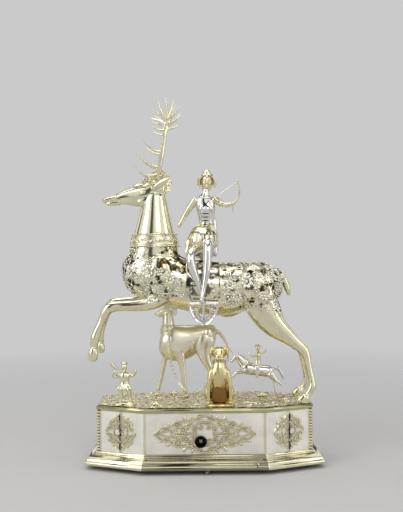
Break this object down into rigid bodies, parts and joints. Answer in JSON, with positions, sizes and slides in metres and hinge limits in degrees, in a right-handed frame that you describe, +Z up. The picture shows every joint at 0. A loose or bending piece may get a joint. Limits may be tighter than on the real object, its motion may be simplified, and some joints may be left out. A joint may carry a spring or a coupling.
{
  "type": "table automaton",
  "caption": "Wheeled clockwork table automaton: a rearing stag with a seated huntress, hounds and small hunters on an elongated octagonal case that holds the spring-driven movement.",
  "frame": {"origin": "centre of the bounding box's bottom, on the table under the case", "axes": "+X to the right and +Y away from someone who faces the keyhole side, +Z up"},
  "size_m": [0.2406, 0.1254, 0.3771],
  "materials": {
    "gilt": "polished",
    "silver": "polished",
    "clock_brass": "brushed",
    "steel": "brushed",
    "blued_steel": "polished",
    "oak": "matte"
  },
  "bodies": {
    "case": {"back_movement_plate": "clock_brass", "back_panel": "silver", "base_board": "oak", "beaded_strips": "gilt", "chest_drapery": "silver", "click_spring": "blued_steel", "corner_strips": "silver", "cornice": "gilt", "diagonal_ornaments": "gilt", "diagonal_panels": "silver", "end_panels": "silver", "front_movement_plate": "clock_brass", "front_panel": "silver", "ground_creatures": "gilt", "ground_plate": "silver", "horn_blower": "gilt", "hound_body": "silver", "hound_collar": "gilt", "keyhole_bush": "gilt", "leash_chain": "silver", "mounted_hunter": "gilt", "movement_pillars": "clock_brass", "neck_collar": "gilt", "nuts": "steel", "plinth": "gilt", "rider_arms": "gilt", "rider_body": "gilt", "rider_bow": "gilt", "rider_drapery": "silver", "rider_head": "gilt", "rump_drapery": "silver", "saddle_cloth": "silver", "seated_dog": "gilt", "side_scrollwork": "gilt", "stag_body": "gilt", "stag_forelegs": "gilt", "stag_hind_legs": "gilt", "stag_tail": "gilt", "steering_bridge": "clock_brass"},
    "barrel": {"barrel": "clock_brass", "barrel_cap": "clock_brass", "mainspring": "blued_steel"},
    "winding": {"winding_arbor": "steel", "ratchet_wheel": "steel"},
    "click": {"click": "steel"},
    "second": {"second_arbor": "steel", "second_wheel": "clock_brass"},
    "third": {"third_arbor": "steel", "third_wheel": "clock_brass"},
    "fly": {"fly_arbor": "steel", "fly_vanes": "clock_brass"},
    "drive": {"drive_axle": "steel", "drive_wheels": "clock_brass"},
    "steering": {"steering_fork": "steel"},
    "steering_wheel": {"steering_wheel": "clock_brass"},
    "stop_lever": {"stop_lever": "steel"},
    "stag_head": {"stag_head": "gilt", "antlers": "gilt", "stag_crown": "gilt"},
    "hound_head": {"hound_head": "silver"}
  },
  "joints": [
    {"name": "drive_axle_spin", "type": "hinge", "parent": "case", "child": "drive", "pos_m": [0.03562, 0, 0.014], "axis": [0, 1, 0], "continuous": true},
    {"name": "second_wheel_spin", "type": "hinge", "parent": "case", "child": "second", "pos_m": [0.01956, 0, 0.02592], "axis": [0, 1, 0], "continuous": true},
    {"name": "barrel_spin", "type": "hinge", "parent": "case", "child": "barrel", "pos_m": [-0.004, 0, 0.0305], "axis": [0, 1, 0], "continuous": true},
    {"name": "third_wheel_spin", "type": "hinge", "parent": "case", "child": "third", "pos_m": [0.03159, 0, 0.04189], "axis": [0, 1, 0], "continuous": true},
    {"name": "fly_spin", "type": "hinge", "parent": "case", "child": "fly", "pos_m": [0.04615, 0, 0.03827], "axis": [0, 1, 0], "continuous": true},
    {"name": "winding", "type": "hinge", "parent": "case", "child": "winding", "pos_m": [-0.004, 0, 0.0305], "axis": [0, 1, 0], "range_deg": [0, 1800]},
    {"name": "click_lift", "type": "hinge", "parent": "case", "child": "click", "pos_m": [-0.00955, 0, 0.04455], "axis": [0, -1, 0], "range_deg": [0, 8], "stiffness_Nm_per_rad": 0.002, "springref_deg": -17.19, "deforming": ["click_spring"]},
    {"name": "steering_turn", "type": "hinge", "parent": "case", "child": "steering", "pos_m": [-0.08, 0, 0.01], "axis": [0, 0, 1], "range_deg": [-25, 25]},
    {"name": "steering_wheel_spin", "type": "hinge", "parent": "steering", "child": "steering_wheel", "pos_m": [-0.08, 0, 0.007], "axis": [0, 1, 0], "continuous": true},
    {"name": "stop_lever_turn", "type": "hinge", "parent": "case", "child": "stop_lever", "pos_m": [0.008, -0.038, 0.006], "axis": [0, 0, 1], "range_deg": [0, 8]},
    {"name": "stag_head_lift", "type": "slide", "parent": "case", "child": "stag_head", "axis": [0, 0, 1], "range_m": [0, 0.06]},
    {"name": "hound_head_lift", "type": "slide", "parent": "case", "child": "hound_head", "axis": [0, 0.6, 0.8], "range_m": [0, 0.03]}
  ],
  "couplings": [
    {"joint": "second_wheel_spin", "follows": "drive_axle_spin", "ratio": -0.25},
    {"joint": "barrel_spin", "follows": "drive_axle_spin", "ratio": 0.05},
    {"joint": "third_wheel_spin", "follows": "drive_axle_spin", "ratio": 1},
    {"joint": "fly_spin", "follows": "drive_axle_spin", "ratio": -4}
  ]
}
